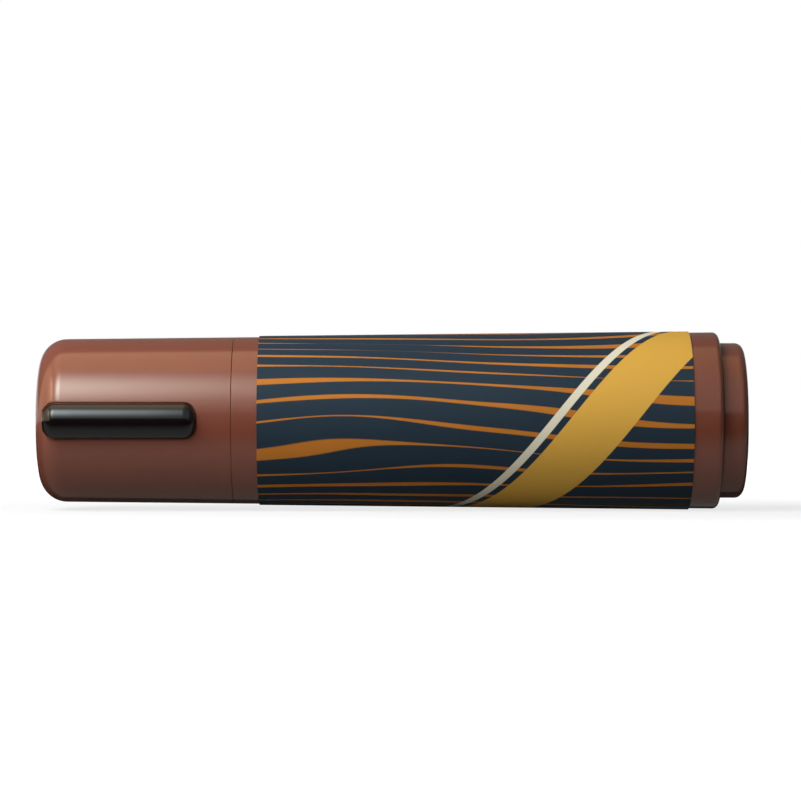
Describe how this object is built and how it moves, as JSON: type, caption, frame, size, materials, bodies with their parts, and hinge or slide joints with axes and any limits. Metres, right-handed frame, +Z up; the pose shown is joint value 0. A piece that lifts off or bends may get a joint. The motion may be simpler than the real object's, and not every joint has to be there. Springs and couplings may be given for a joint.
{
  "type": "furniture touch-up marker",
  "caption": "Round touch-up marker with a chisel felt nib, a pull-off cap with a flexing pocket clip, a printed label sleeve and a stepped rear plug.",
  "frame": {"origin": "centre of the rear plug's flat end face", "axes": "+X along the marker's axis, out of the rear end; +Z up with the marker lying down; the clip faces -Y"},
  "size_m": [0.1, 0.0263, 0.0254],
  "materials": {
    "brown_plastic": "moulded gloss",
    "label_film": "printed and laminated",
    "black_plastic": "moulded gloss",
    "natural_plastic": "moulded satin",
    "soft_natural_plastic": "soft satin",
    "felt": "pressed felt soaked with brown ink",
    "inked_fibre": "bonded fibre soaked with brown ink",
    "clear_film": "clear film"
  },
  "bodies": {
    "barrel": {"barrel": "brown_plastic", "label_sleeve": "label_film", "rear_plug": "brown_plastic", "nib_holder": "natural_plastic", "nib": "felt", "ink_reservoir": "inked_fibre", "reservoir_film": "clear_film"},
    "inner_cap": {"inner_cap": "soft_natural_plastic"},
    "cap": {"cap_shell": "brown_plastic"},
    "clip": {"clip": "black_plastic"}
  },
  "joints": [
    {"name": "cap_pull", "type": "slide", "parent": "barrel", "child": "inner_cap", "axis": [-1, 0, 0], "range_m": [0, 0.04]},
    {"name": "cap_turn", "type": "hinge", "parent": "inner_cap", "child": "cap", "pos_m": [-0.0864, 0, 0], "axis": [1, 0, 0], "continuous": true},
    {"name": "clip_flex", "type": "hinge", "parent": "cap", "child": "clip", "pos_m": [-0.0948, -0.0112, 0], "axis": [0, 0, -1], "range_deg": [0, 4], "stiffness_Nm_per_rad": 0.05}
  ]
}
